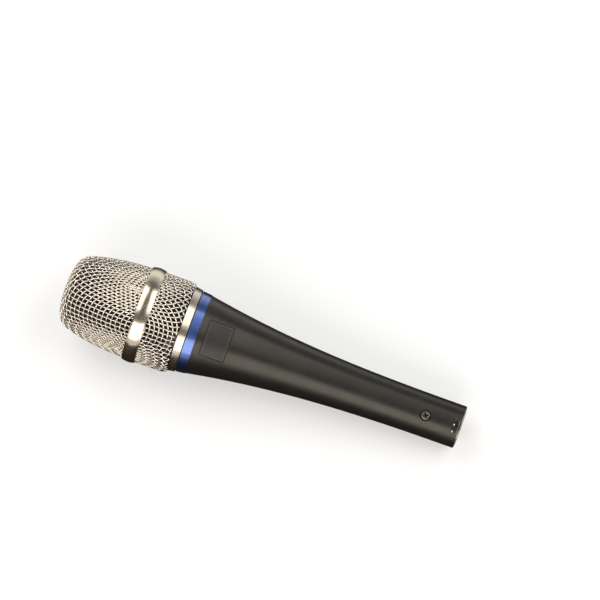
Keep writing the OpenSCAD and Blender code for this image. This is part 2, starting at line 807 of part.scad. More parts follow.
handle_shell();
name_plate();
trim_ring();
thread_sleeve();
connector_screw();
screw_insert();
connector_insulator();
ground_contact();
hot_contact();
cold_contact();
ground_tag();
ground_lead();
hot_lead();
cold_lead();
front_shock_ring();
rear_shock_ring();
seal_ring();
head_collar();
rear_basket();
grille_band();
front_basket();
foam_liner();
capsule_housing();
resonator_cap();
dust_screen();
clamp_ring();
pole_ring();
pole_plate();
magnet();
yoke_cup();
magnet_frame();
hum_coil();
acoustic_felt();
terminal_board();
solder_lugs();
diaphragm();
voice_coil();
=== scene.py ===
"""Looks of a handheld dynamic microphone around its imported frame.

The head is woven from wire over foam, the neck gets its thread, and every piece gets its finish.
"""

import json
import math

import bmesh
import bpy
import numpy as np
from bpy.props import FloatProperty, FloatVectorProperty, PointerProperty
from mathutils import Matrix, Vector, noise


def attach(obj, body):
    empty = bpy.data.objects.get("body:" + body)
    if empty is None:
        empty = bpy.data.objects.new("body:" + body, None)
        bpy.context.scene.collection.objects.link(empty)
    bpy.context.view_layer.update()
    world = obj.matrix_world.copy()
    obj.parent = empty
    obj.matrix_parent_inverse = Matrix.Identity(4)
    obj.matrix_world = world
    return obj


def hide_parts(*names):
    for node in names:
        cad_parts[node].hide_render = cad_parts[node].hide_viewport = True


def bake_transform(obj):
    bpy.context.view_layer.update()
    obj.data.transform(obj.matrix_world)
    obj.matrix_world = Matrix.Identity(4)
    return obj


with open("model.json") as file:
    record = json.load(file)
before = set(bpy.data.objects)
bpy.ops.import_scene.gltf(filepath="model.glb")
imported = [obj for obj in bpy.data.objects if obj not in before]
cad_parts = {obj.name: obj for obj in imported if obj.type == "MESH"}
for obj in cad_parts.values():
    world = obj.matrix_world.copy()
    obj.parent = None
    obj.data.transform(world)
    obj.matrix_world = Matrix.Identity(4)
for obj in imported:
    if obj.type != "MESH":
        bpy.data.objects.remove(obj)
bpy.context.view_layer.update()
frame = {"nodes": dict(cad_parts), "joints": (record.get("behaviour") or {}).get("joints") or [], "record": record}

bl_info = {
    "name": "Dynamic microphone",
    "version": (1, 0, 0),
    "blender": (4, 5, 0),
    "location": "3D View > Sidebar > Microphone",
    "description": "Weaves the head, fills it with foam and finishes every piece of a handheld microphone",
    "category": "Object",
}

MM = 0.001
WELD = 1e-6  # points nearer than this are one
DECIMALS = 5  # outlines are read to a hundredth of a millimetre
NEAR = 0.1 * MM  # points nearer than this to a face or an axis are on it
ARC_STEPS = 8  # straight steps in a quarter of a circle
SMOOTH_UP_TO = math.radians(35)  # faces that meet at less than this look like one surface

JOINTS = {joint["name"]: joint for joint in frame["joints"]}
SLOT_OF = {part["node"]: part["material_slot"] for part in frame["record"]["subparts"]}

# --- the microphone's own axis, from the joint that unscrews its head ---

HEAD_TURN = JOINTS["head_turn"]
AXIS = Vector(HEAD_TURN["axis"]).normalized()
PIVOT = Vector(HEAD_TURN["pos_m"])
SIDE = Vector((0, 1, 0))
UP = SIDE.cross(AXIS).normalized()
TAIL = PIVOT + AXIS * min((v.co - PIVOT).dot(AXIS) for v in frame["nodes"]["handle_shell"].data.vertices)
# takes an upright microphone, tail at the origin, to where it lies
LAY = Matrix.Translation(TAIL) @ Matrix((UP, SIDE, AXIS)).transposed().to_4x4()


def upright_points(node):
    """The vertices of a frame node on the upright microphone."""
    upright = LAY.inverted()
    return [upright @ vertex.co for vertex in frame["nodes"][node].data.vertices]


def outline_of(node, low=-math.inf):
    """The outer outline of a turned frame node as (radius, height) points, upwards from low."""
    widest = {}
    for point in upright_points(node):
        height = round(point.z, DECIMALS)
        if low <= height:
            widest[height] = max(widest.get(height, 0), math.hypot(point.x, point.y))
    return [(widest[height], height) for height in sorted(widest)]


def dome_of(node):
    """The outer wall of a frame node that never widens towards the nose, from the axis to its rim."""
    wall, widest = [], 0
    for radius, height in reversed(outline_of(node)):
        if radius > widest - 10**-DECIMALS:
            widest = max(widest, radius)
            wall.append((radius, height))
    return [(0.0, wall[0][1])] + [point for point in wall if point[0] > NEAR]


def corners_of(node):
    """Every (height, radius) corner of a turned frame node's profile, from low to high."""
    corners = ((p.z, math.hypot(p.x, p.y)) for p in upright_points(node))
    return sorted({(round(height, DECIMALS), round(radius, DECIMALS)) for height, radius in corners})


# --- meshes ---


def linear(hex_colour):
    """An sRGB hex colour as linear red, green and blue."""
    parts = [int(hex_colour[i : i + 2], 16) / 255 for i in (1, 3, 5)]
    return tuple(c / 12.92 if c <= 0.04045 else ((c + 0.055) / 1.055) ** 2.4 for c in parts)


def place(mesh_or_bmesh, name, body, slot, look=None, replaces=(), bends=()):
    """Lays an upright mesh down as a finished piece, in the finish of its slot or another look.

    It rides on its body, or, when bends are given, stays fixed where it lies on no body; then body and the heights
    in bends are not used.
    """
    if isinstance(mesh_or_bmesh, bmesh.types.BMesh):
        mesh = bpy.data.meshes.new(name)
        mesh_or_bmesh.to_mesh(mesh)
        mesh_or_bmesh.free()
    else:
        mesh = mesh_or_bmesh
        mesh.name = name
    mesh.transform(LAY)
    mesh.materials.clear()
    mesh.materials.append(material_for(look or slot))
    mesh.update()
    piece = bpy.data.objects.new(name, mesh)
    bpy.context.scene.collection.objects.link(piece)
    if bends:
        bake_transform(piece)
    else:
        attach(piece, body)
    if replaces:
        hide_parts(*replaces)
    return piece


def smooth(bm):
    """Shades every face smooth, with a crease where faces meet at a sharp angle."""
    for face in bm.faces:
        face.smooth = True
    for edge in bm.edges:
        edge.smooth = edge.calc_face_angle(0) < SMOOTH_UP_TO


def turned(points, steps=128, closed=True):
    """Spins (radius, height) points about the axis into a solid, smooth where its outline bends gently."""
    bm = bmesh.new()
    ring = [bm.verts.new((radius, 0, height)) for radius, height in points]
    pairs = list(zip(ring, ring[1:])) + ([(ring[-1], ring[0])] if closed else [])
    edges = [bm.edges.new(pair) for pair in pairs]
    bmesh.ops.spin(bm, geom=ring + edges, cent=(0, 0, 0), axis=(0, 0, 1), angle=math.tau, steps=steps,
                   use_merge=True)
    bmesh.ops.remove_doubles(bm, verts=bm.verts, dist=WELD)
    bmesh.ops.dissolve_degenerate(bm, edges=bm.edges, dist=WELD / 10)
    bmesh.ops.recalc_face_normals(bm, faces=bm.faces)
    smooth(bm)
    return bm


def screw_ridge(bm, points, low, pitch, turns, steps=96):
    """Adds a closed (radius, height) outline swept up a helix from low, with both its ends closed."""
    ring = [bm.verts.new((radius, 0, low + height)) for radius, height in points]
    edges = [bm.edges.new(pair) for pair in zip(ring, ring[1:] + ring[:1])]
    end = bm.faces.new(ring)
    count = round(steps * turns)
    bmesh.ops.spin(bm, geom=[end] + ring + edges, cent=(0, 0, 0), axis=(0, 0, 1),
                   dvec=(0, 0, pitch / steps), angle=math.tau * count / steps, steps=count)
    bmesh.ops.recalc_face_normals(bm, faces=bm.faces)


def tubes(lines, radius, roundness=1):
    """One mesh of round wires along lines of points, each line with whether it closes on itself."""
    curve = bpy.data.curves.new("wires", "CURVE")
    curve.dimensions = "3D"
    curve.bevel_depth = radius
    curve.bevel_resolution = roundness
    curve.use_fill_caps = True
    for points, cyclic in lines:
        spline = curve.splines.new("POLY")
        spline.points.add(len(points) - 1)
        spline.points.foreach_set("co", [x for p in points for x in (*p, 1.0)])
        spline.use_cyclic_u = cyclic
        spline.use_smooth = True
    holder = bpy.data.objects.new("wires", curve)
    mesh = bpy.data.meshes.new_from_object(holder)
    bpy.data.objects.remove(holder)
    bpy.data.curves.remove(curve)
    return mesh


# --- woven wire ---

LOCK_DEGREES = 41  # sharpest angle that crossing wires shear to
DIAGONAL_GROWTH = 0.35  # how much further the net reaches between its two straight wires
STIFFNESS = 0.4  # of a wire against bending, beside its stiffness along itself
CROWDING = 3.0  # how much harder wires that touch push apart than a wire pulls
BUNCHING = 3  # at most this much closer together than in the flat net, to start from
SPARE = 3  # crossings beyond the end, which the last ones hold on to
WEAVE_PARTS = 4  # points from one crossing to the next
FLAT_NET = 16 * MM  # how far from the axis the front basket's net stays square
NOSE_FLAT = 3 * MM  # radius of the flat in the middle of the nose
REAR_BEND = 1 * MM  # radius of the bend behind the rear basket
RUN_ON = 30 * MM  # how far a net's former goes on past the end of the net


class Former:
    """The turned surface that woven wire is drawn over, held as its outline from the pole to the rim."""

    def __init__(self, outline):
        self.points = np.array(outline)
        self.runs = np.diff(self.points, axis=0)
        self.lengths = np.hypot(*self.runs.T)
        self.reach = np.concatenate([[0], np.cumsum(self.lengths)])
        facing = np.stack([-self.runs[:, 1], self.runs[:, 0]], 1) / self.lengths[:, None]
        if self.points[0, 1] < self.points[-1, 1]:
            facing = -facing
        ends = np.concatenate([facing[:1], facing, facing[-1:]])
        self.facing = ends[:-1] + ends[1:]
        self.facing /= np.hypot(*self.facing.T)[:, None]

    def radius_at(self, reach):
        return np.maximum(np.interp(reach, self.reach, self.points[:, 0]), 1e-6)

    def frame_at(self, reach, turn):
        """The point that far from the pole at a turn, its directions along and around, and its radius."""
        radius = self.radius_at(reach)
        height = np.interp(reach, self.reach, self.points[:, 1])
        row = np.clip(np.searchsorted(self.reach, reach) - 1, 0, len(self.runs) - 1)
        outwards, upwards = (self.runs[row] / self.lengths[row, None]).T
        cos, sin = np.cos(turn), np.sin(turn)
        return (
            np.stack([radius * cos, radius * sin, height], 1),
            np.stack([outwards * cos, outwards * sin, upwards], 1),
            np.stack([-sin, cos, np.zeros_like(turn)], 1),
            radius,
        )

    def press(self, points):
        """The nearest points of the surface, the way it faces there and how far each is from the pole."""
        radius = np.maximum(np.hypot(points[:, 0], points[:, 1]), 1e-9)
        flat = np.stack([radius, points[:, 2]], 1)[:, None, :]
        share = ((flat - self.points[:-1]) * self.runs).sum(2) / self.lengths**2
        share = np.clip(share, 0, 1)
        feet = self.points[:-1] + self.runs * share[..., None]
        nearest = np.argmin(((flat - feet) ** 2).sum(2), 1)
        rows = np.arange(len(points))
        foot, share = feet[rows, nearest], share[rows, nearest]
        facing = self.facing[nearest] * (1 - share[:, None]) + self.facing[nearest + 1] * share[:, None]
        around = points[:, :2] / radius[:, None]
        return (
            np.concatenate([around * foot[:, :1], foot[:, 1:]], 1),
            np.concatenate([around * facing[:, :1], facing[:, 1:]], 1),
            self.reach[nearest] + share * self.lengths[nearest],
        )


def draw_net(former, pitch, flat, stop, rounds=2500):
    """Drapes a quarter of a square net of springy wires over the former, as a press draws woven wire.

    flat is how far from the pole the net stays square, and stop where it ends. Crossings shear
    between the two straight wires until their neighbours touch. Returns {(i, j): point}.
    """
    shortest = 2 * pitch * math.sin(math.radians(LOCK_DEGREES) / 2)
    count = int(stop / pitch) + SPARE + 1
    cells = {}
    for i in range(count):
        for j in range(count):
            far, turn = math.hypot(i, j) * pitch, math.atan2(j, i)
            far += max(0, far - flat) * DIAGONAL_GROWTH * math.sin(2 * turn) ** 2
            if far <= stop + SPARE * pitch:
                cells[i, j] = (far, turn)
    # one row beyond each straight wire mirrors the row inside it
    mirrored = [((i, -1), (i, 1), 0) for i in range(count) if (i, 1) in cells]
    mirrored += [((-1, j), (1, j), math.pi) for j in range(count) if (1, j) in cells]
    for outside, inside, total in mirrored:
        cells[outside] = (cells[inside][0], total - cells[inside][1])
    number = {cell: k for k, cell in enumerate(cells)}
    reach, turn = (np.array(values) for values in zip(*cells.values()))
    flat_reach = np.hypot(*np.array(list(cells), float).T) * pitch
    bunched = np.clip(flat_reach / former.radius_at(reach), 1, BUNCHING)
    share = np.clip(np.minimum(turn, math.pi / 2 - turn) / (math.pi / 4), 0, 1)
    spread = math.pi / 4 * (1 - (1 - share) ** bunched)
    turn = np.where(turn < math.pi / 4, spread, math.pi / 2 - spread)
    outside = np.array([number[o] for o, i, total in mirrored])
    inside = np.array([number[i] for o, i, total in mirrored])
    totals = np.array([total for o, i, total in mirrored])

    def linked(*patterns):
        rows = [[(i + a, j + b) for a, b in pattern] for i, j in cells for pattern in patterns]
        return np.array([[number[cell] for cell in row] for row in rows if all(c in number for c in row)])

    wires = linked(((0, 0), (1, 0)), ((0, 0), (0, 1)))
    pairs = np.concatenate([wires, linked(((1, 0), (0, 1)), ((0, 0), (1, 1)))])
    runs = linked(((-1, 0), (0, 0), (1, 0)), ((0, -1), (0, 0), (0, 1)))
    weight = np.where(np.arange(len(pairs)) < len(wires), 1.0, CROWDING)
    straight = np.array([0 in cell for cell in cells])
    pole = number[0, 0]
    for _ in range(rounds):
        turn[outside], reach[outside] = totals - turn[inside], reach[inside]
        points, along, around, radius = former.frame_at(reach, turn)
        gap = points[pairs[:, 1]] - points[pairs[:, 0]]
        length = np.maximum(np.linalg.norm(gap, axis=1), 1e-9)
        change = np.where(weight == 1, length - pitch, np.minimum(0, length - shortest))
        pull = gap * (weight * change / length / 2)[:, None]
        bend = STIFFNESS * ((points[runs[:, 0]] + points[runs[:, 2]]) / 2 - points[runs[:, 1]])
        move, parts = np.zeros_like(points), np.full(len(points), 1e-9)
        for ends, force, share in (
            (pairs[:, 0], pull, weight * (change != 0)), (pairs[:, 1], -pull, weight * (change != 0)),
            (runs[:, 1], bend, STIFFNESS), (runs[:, 0], -bend / 2, STIFFNESS / 2),
            (runs[:, 2], -bend / 2, STIFFNESS / 2),
        ):
            np.add.at(move, ends, force)
            np.add.at(parts, ends, share)
        move /= parts[:, None]
        slide = (move * along).sum(1)
        slide[pole] = 0
        reach = np.maximum(reach + slide, 0)
        turn = turn + np.where(straight, 0, (move * around).sum(1) / radius)
    points = former.frame_at(reach, turn)[0]
    return {cell: points[k] for cell, k in number.items() if min(cell) >= 0}


def weave(former, wire, pitch, flat, start, stop, turn):
    """Over-and-under wires along a drawn net, as lines of points from start to stop along the former."""
    quarter = draw_net(former, pitch, flat, stop)
    count = max(i for i, j in quarter)
    samples, lift, ends = [], [], []
    for lengthwise in (True, False):
        lift_up = wire / 2 if lengthwise else -wire / 2
        for i in range(-count, count + 1):
            row = [j for j in range(-count, count + 1) if (abs(i), abs(j)) in quarter]
            cells = [(i, j) if lengthwise else (j, i) for j in row]
            knots = [quarter[abs(a), abs(b)] * (math.copysign(1, a), math.copysign(1, b), 1)
                     for a, b in cells]
            for k in range(1, len(row) - 2):
                before, here, there, after = knots[k - 1 : k + 3]
                # a smooth curve through the crossings
                for t in (part / WEAVE_PARTS for part in range(WEAVE_PARTS)):
                    samples.append(0.5 * (2 * here + (there - before) * t
                                          + (2 * before - 5 * here + 4 * there - after) * t**2
                                          + (3 * here - before - 3 * there + after) * t**3))
                    lift.append(math.cos(math.pi * (i + row[k] + t)) * lift_up)
            ends.append(len(samples))
    points, facing, reach = former.press(np.array(samples))
    points = (points + facing * np.array(lift)[:, None]) @ np.array(Matrix.Rotation(-turn, 3, "Z"))
    inside = (reach >= start) & (reach <= stop)
    lines, first = [], None
    for k, keep in enumerate(inside):
        if first is not None and (not keep or k in ends):
            if k - first > 2:
                lines.append((points[first:k], False))
            first = None
        if keep and first is None:
            first = k
    return lines


def inset(outline, depth):
    """An outline that runs out from the pole of a dome, moved inwards by depth."""
    points = np.array(outline)
    along = np.gradient(points, axis=0)
    along /= np.hypot(*along.T)[:, None]
    return points + np.stack([along[:, 1], -along[:, 0]], 1) * depth


# --- sizes and colours ---


def measure(name, description, millimetres):
    return FloatProperty(name=name, description=description, default=millimetres * MM, unit="LENGTH")


class MicrophoneSizes(bpy.types.PropertyGroup):
    """The sizes of what is woven, cut and foamed"""

    wire: measure("Wire", "Diameter of the head's wire", 0.8)
    pitch: measure("Pitch", "Distance between neighbouring wires", 2.56)
    weave_turn: FloatProperty(name="Weave turn", description="Turn of the weave about the axis",
                              default=math.radians(-34), subtype="ANGLE")
    thread_pitch: measure("Thread pitch", "Rise of the neck's thread in one turn", 1.0)
    thread_depth: measure("Thread depth", "Height of the neck's thread", 0.4)
    foam_thick: measure("Foam", "Thickness of the foam behind the wires", 2.5)


def colour(name, description, hex_colour):
    return FloatVectorProperty(name=name, description=description, default=linear(hex_colour),
                               subtype="COLOR")


class MicrophoneColours(bpy.types.PropertyGroup):
    """The colours that show most, each named as its material slot"""

    handle_lacquer: colour("Handle", "Lacquer of the handle", "#1D1B19")
    trim_anodised: colour("Ring", "Dye of the anodised ring", "#5170BE")
    mesh_wire: colour("Wire", "Nickel plate of the woven wire", "#EEE7DC")
    band_nickel: colour("Band", "Nickel plate of the band", "#D6CCBA")
    collar_nickel: colour("Collar", "Nickel plate of the collar", "#CFC6B7")
    foam: colour("Foam", "Foam behind the wires", "#241C17")


# --- materials ---


def add(material, kind, inputs=(), **settings):
    """Adds one shader node: its properties from settings, and its sockets from inputs.

    An input is a value, or the socket of another node that feeds this one.
    """
    node = material.node_tree.nodes.new("ShaderNode" + kind)
    for name, value in settings.items():
        setattr(node, name, value)
    for key, value in dict(inputs).items():
        if isinstance(value, bpy.types.NodeSocket):
            material.node_tree.links.new(value, node.inputs[key])
        else:
            node.inputs[key].default_value = value
    return node


def upright_mm(material):
    """Object coordinates in millimetres, upright along the microphone's axis with the tail at zero."""
    back = LAY.inverted()
    return add(material, "Mapping", {
        "Vector": add(material, "TexCoord").outputs["Object"],
        "Location": back.translation / MM, "Rotation": back.to_euler(), "Scale": (1 / MM,) * 3,
    }).outputs[0]


HAND_MARK = 9  # millimetres from one handled place to the next
SMUDGE = 0.04  # how much handling changes the gloss
RAG = 2 / 3  # millimetres from one tongue of a ragged edge to the next


def finish(base, name, shade, roughness, grain, relief, metallic=0.0, turned_on_lathe=False,
           pattern="TexNoise", constants=()):
    """A finish whose colour, gloss and relief follow one pattern of a real grain size in millimetres.

    base is the colour of the pattern's high places and shade how much of it the low places keep,
    roughness the gloss of low and high places, and relief the height between them in millimetres.
    """
    material = bpy.data.materials.new(name)
    material.use_nodes = True
    shader = material.node_tree.nodes["Principled BSDF"]
    link = material.node_tree.links.new
    place_mm = upright_mm(material)
    vector = place_mm
    if turned_on_lathe:
        # the same all the way round: distance from the axis, and height
        parts = add(material, "SeparateXYZ", {0: place_mm}).outputs
        flat = add(material, "CombineXYZ", {0: parts[0], 1: parts[1]}).outputs[0]
        radius = add(material, "VectorMath", {0: flat}, operation="LENGTH").outputs["Value"]
        vector = add(material, "CombineXYZ", {0: radius, 2: parts[2]}).outputs[0]
    texture = add(material, pattern, {"Vector": vector, "Scale": 1 / grain})
    height = texture.outputs["Distance" if pattern == "TexVoronoi" else "Fac"]
    low, high = (*(part * shade for part in base), 1.0), (*base, 1.0)
    tint = add(material, "Mix", {0: height, 6: low, 7: high}, data_type="RGBA")
    link(tint.outputs[2], shader.inputs["Base Color"])
    gloss = add(material, "MapRange", {"Value": height, "To Min": roughness[0], "To Max": roughness[1]})
    hand = add(material, "TexNoise", {"Vector": place_mm, "Scale": 1 / HAND_MARK}).outputs["Fac"]
    # noise rarely leaves the stretch from 0.3 to 0.7
    handled = add(material, "MapRange", {"Value": hand, "From Min": 0.3, "From Max": 0.7,
                                         "To Min": -SMUDGE, "To Max": SMUDGE})
    total = add(material, "Math", {0: gloss.outputs[0], 1: handled.outputs[0]}, operation="ADD")
    link(total.outputs[0], shader.inputs["Roughness"])
    bump = add(material, "Bump", {"Height": height, "Distance": relief * MM, "Strength": 1.0})
    link(bump.outputs[0], shader.inputs["Normal"])
    shader.inputs["Metallic"].default_value = metallic
    for key, value in dict(constants).items():
        shader.inputs[key].default_value = value
    return material


# turned metal: fine rings from the lathe, drawn coarser than they are so that they show
TURNED = {"metallic": 1.0, "turned_on_lathe": True}
VINYL = {"roughness": (0.38, 0.46), "grain": 1.2, "relief": 0.01}
# the finish of each material slot; one without a colour takes it from MicrophoneColours
FINISHES = {
    # die-cast zinc sprayed with satin black lacquer: a soft sheen with faint orange peel
    "handle_lacquer": dict(name="sprayed_satin_lacquer", shade=0.68, roughness=(0.3, 0.36), grain=0.8,
                           relief=0.005, constants={"Specular Tint": (1.0, 0.985, 0.9, 1.0)}),
    # printed polyester foil: flat dark grey, a little duller than the lacquer
    "plate_foil": dict(name="printed_foil", colour="#1E1C1A", shade=0.66, roughness=(0.42, 0.52), grain=0.3,
                       relief=0.002),
    # silver printing ink on the foil: a thin pale line
    "plate_ink": dict(name="silver_printing_ink", colour="#6B675F", shade=0.85, roughness=(0.4, 0.5),
                      grain=0.3, relief=0.002, metallic=0.6),
    # painted shadow: a near-black line round the foil's edge, standing in for the shadow of the gap between plate
    # and handle
    "plate_edge": dict(name="black_printing_ink", colour="#0B0A09", shade=0.85, roughness=(0.55, 0.65),
                       grain=0.3, relief=0.002),
    # turned aluminium, dyed and anodised: deep metallic blue with fine lathe lines
    "trim_anodised": dict(name="blue_anodised_aluminium", shade=0.58, roughness=(0.27, 0.36), grain=0.12,
                          relief=0.002, **TURNED,
                          constants={"Coat Weight": 1.0, "Coat Roughness": 0.16, "Coat IOR": 1.62}),
    # turned aluminium left bare: pale grey with visible lathe lines
    "sleeve_metal": dict(name="turned_aluminium", colour="#C6C2B9", shade=0.69, roughness=(0.25, 0.38),
                         grain=0.15, relief=0.004, **TURNED),
    # steel screw, nickel plated and dulled by handling: warm grey
    "screw_steel": dict(name="nickel_plated_screw", colour="#8F8576", shade=0.59, roughness=(0.3, 0.42),
                        grain=0.4, relief=0.004, metallic=1.0),
    # painted shade: the same plating painted near black in the cross, standing in for the shade inside the recess
    "screw_recess": dict(name="greased_plating", colour="#14120F", shade=0.59, roughness=(0.55, 0.7),
                         grain=0.3, relief=0.006),
    # turned brass: yellow with lathe lines
    "brass": dict(name="turned_brass", colour="#C6A35B", shade=0.67, roughness=(0.25, 0.38), grain=0.2,
                  relief=0.003, metallic=1.0),
    # moulded glass-filled nylon: near black, slightly speckled
    "insulator_plastic": dict(name="moulded_nylon", colour="#1C1C1C", shade=0.56, roughness=(0.42, 0.55),
                              grain=0.35, relief=0.006),
    # gold plate over brass: pale yellow, almost mirror bright
    "contact_gold": dict(name="gold_plated_brass", colour="#F8E2AA", shade=0.79, roughness=(0.12, 0.18),
                         grain=0.5, relief=0.002, metallic=1.0),
    # extruded vinyl insulation: even colour with a soft gloss
    "lead_green": dict(name="green_vinyl_insulation", colour="#35854A", shade=0.67, **VINYL),
    "lead_red": dict(name="red_vinyl_insulation", colour="#BD2E34", shade=0.72, **VINYL),
    "lead_white": dict(name="white_vinyl_insulation", colour="#E0DCD0", shade=0.82, **VINYL),
    # moulded soft rubber: dull black with a fine mould texture
    "shock_rubber": dict(name="moulded_soft_rubber", colour="#242424", shade=0.59, roughness=(0.62, 0.78),
                         grain=0.25, relief=0.012),
    # die-cut sheet rubber: dull black
    "seal_rubber": dict(name="cut_sheet_rubber", colour="#1B1B1B", shade=0.55, roughness=(0.6, 0.75),
                        grain=0.3, relief=0.01),
    # turned brass under satin nickel: warm pale grey, soft reflections in fine rings
    "collar_nickel": dict(name="satin_nickel_plate", shade=0.81, roughness=(0.2, 0.29), grain=0.14,
                          relief=0.0016, **TURNED),
    # pressed steel under satin nickel: as the collar, a little brighter
    "band_nickel": dict(name="satin_nickel_band", shade=0.82, roughness=(0.18, 0.26), grain=0.14,
                        relief=0.0014, **TURNED),
    # drawn steel wire, woven, pressed and nickel plated: warm bright metal, a touch dull in the crimps
    "mesh_wire": dict(name="nickel_plated_wire", shade=0.70, roughness=(0.16, 0.28), grain=1.6,
                      relief=0.01, metallic=1.0),
    # reticulated polyurethane foam: matt black, full of open cells
    "foam": dict(name="open_cell_foam", shade=0.17, roughness=(0.9, 1.0), grain=0.7, relief=0.5,
                 pattern="TexVoronoi", constants={"Sheen Weight": 0.15, "Sheen Roughness": 0.6}),
    # turned aluminium housing: cool pale grey
    "housing_aluminium": dict(name="turned_housing_aluminium", colour="#B6BABC", shade=0.70,
                              roughness=(0.28, 0.4), grain=0.18, relief=0.004, **TURNED),
    # moulded ABS: black with a fine spark-eroded texture
    "cap_plastic": dict(name="moulded_abs", colour="#222225", shade=0.60, roughness=(0.45, 0.58), grain=0.3,
                        relief=0.01),
    # woven polyester screen: mid grey, fine threads
    "screen_mesh": dict(name="woven_screen_cloth", colour="#7C8083", shade=0.38, roughness=(0.7, 0.85),
                        grain=0.3, relief=0.05),
    # zinc-plated soft iron: bluish grey with turned rings
    "pole_steel": dict(name="zinc_plated_iron", colour="#9CA1A4", shade=0.65, roughness=(0.3, 0.45),
                       grain=0.2, relief=0.004, **TURNED),
    # nickel-plated sintered magnet: grey and faintly grainy
    "magnet_metal": dict(name="sintered_magnet", colour="#83878A", shade=0.63, roughness=(0.35, 0.5),
                         grain=0.35, relief=0.006, metallic=1.0),
    # moulded polycarbonate: dark grey
    "frame_plastic": dict(name="moulded_polycarbonate", colour="#323236", shade=0.63, roughness=(0.4, 0.52),
                          grain=0.35, relief=0.008),
    # enamelled copper wire, wound: orange brown with fine rings of wire
    "coil_copper": dict(name="wound_copper_wire", colour="#B56C36", shade=0.44, roughness=(0.25, 0.4),
                        grain=0.12, relief=0.03, **TURNED),
    # pressed wool felt: grey and fibrous
    "felt": dict(name="pressed_wool_felt", colour="#6C6A64", shade=0.50, roughness=(0.88, 1.0), grain=0.5,
                 relief=0.12, constants={"Sheen Weight": 0.3}),
    # glass-fibre laminate: green with the cloth showing faintly
    "board_laminate": dict(name="glass_fibre_laminate", colour="#356A40", shade=0.54, roughness=(0.35, 0.45),
                           grain=0.6, relief=0.006),
    # hot-tinned lugs: pale, soft and slightly rippled
    "lug_tin": dict(name="tinned_metal", colour="#D2D2CD", shade=0.73, roughness=(0.22, 0.35), grain=0.6,
                    relief=0.02, metallic=1.0),
    # formed polyester film: thin, glossy, pale amber
    "film": dict(name="formed_polyester_film", colour="#CDB98F", shade=0.79, roughness=(0.12, 0.2),
                 grain=2.0, relief=0.004, constants={"Transmission Weight": 0.35}),
}

WORN_RIM = 0.6  # millimetres of bare metal at the tail
SKIRT_SHADE = 20  # millimetres of painted shade, more than the collar's skirt is long


def material_for(slot):
    """The finish of one material slot, made once."""
    settings = dict(FINISHES[slot])
    material = bpy.data.materials.get(settings["name"])
    if material is None:
        if "colour" in settings:
            base = linear(settings.pop("colour"))
        else:
            base = tuple(getattr(bpy.context.scene.microphone_colours, slot))
        material = finish(base, **settings)
        if slot == "handle_lacquer":
            # lacquer worn through to bright metal at the tail's rim
            change_between(material, -WORN_RIM, WORN_RIM, "#B9B4AA", metallic=1.0, ragged=0.1)
        elif slot == "collar_nickel":
            # painted shade: the skirt behind the wires is painted near black and not metallic, standing in for the
            # shade under the wires
            skirt = outline_of("rear_basket")[0][1] / MM
            change_between(material, skirt, skirt + SKIRT_SHADE, "#15110E", metallic=0.0)
    return material


def change_between(material, low, high, hex_colour, metallic, ragged=0.0):
    """Gives the stretch between two heights in millimetres another colour, with ends ragged that far."""
    shader = material.node_tree.nodes["Principled BSDF"]
    link = material.node_tree.links.new
    place_mm = upright_mm(material)
    along = add(material, "SeparateXYZ", {0: place_mm}).outputs[2]
    rag = add(material, "TexNoise", {"Vector": place_mm, "Scale": 1 / RAG}).outputs["Fac"]
    wander = add(material, "MapRange", {"Value": rag, "To Min": -ragged, "To Max": ragged}).outputs[0]
    along = add(material, "Math", {0: along, 1: wander}, operation="ADD").outputs[0]
    over = add(material, "Math", {0: along, 1: low}, operation="GREATER_THAN").outputs[0]
    under = add(material, "Math", {0: along, 1: high}, operation="LESS_THAN").outputs[0]
    inside = add(material, "Math", {0: over, 1: under}, operation="MULTIPLY").outputs[0]
    coat = shader.inputs["Base Color"].links[0].from_socket
    other = (*linear(hex_colour), 1.0)
    link(add(material, "Mix", {0: inside, 6: coat, 7: other}, data_type="RGBA").outputs[2],
         shader.inputs["Base Color"])
    plain = shader.inputs["Metallic"].default_value
    metal = add(material, "MapRange", {"Value": inside, "To Min": plain, "To Max": metallic})
    link(metal.outputs[0], shader.inputs["Metallic"])


# --- operators ---


class BuildOperator:
    """What every step shares: it can be undone"""

    bl_options = {"REGISTER", "UNDO"}


def weave_basket(context, former, flat, start, node):
    """Weaves wires over a former, from start to where its run-on begins, in place of a node."""
    sizes = context.scene.microphone_sizes
    stop = float(former.reach[-2])
    lines = weave(former, sizes.wire, sizes.pitch, flat, start, stop, sizes.weave_turn)
    place(tubes(lines, sizes.wire / 2), node + "_weave", "head", "mesh_wire", replaces=[node])
    return {"FINISHED"}


class MICROPHONE_OT_front_basket(BuildOperator, bpy.types.Operator):
    """Weave the front basket from the nose to the band"""

    bl_idname = "microphone.front_basket"
    bl_label = "Front Basket"

    def execute(self, context):
        wire = context.scene.microphone_sizes.wire
        dome = dome_of("front_basket")
        # the surface that the wires cross on, flat over the nose
        top = dome[0][1] - wire
        middle = [(radius, min(height, top)) for radius, height in inset(dome, wire) if radius > NOSE_FLAT]
        rim, low = middle[-1]
        former = Former([(0.0, top)] + middle + [(rim, low - RUN_ON)])
        return weave_basket(context, former, FLAT_NET, 0, "front_basket")


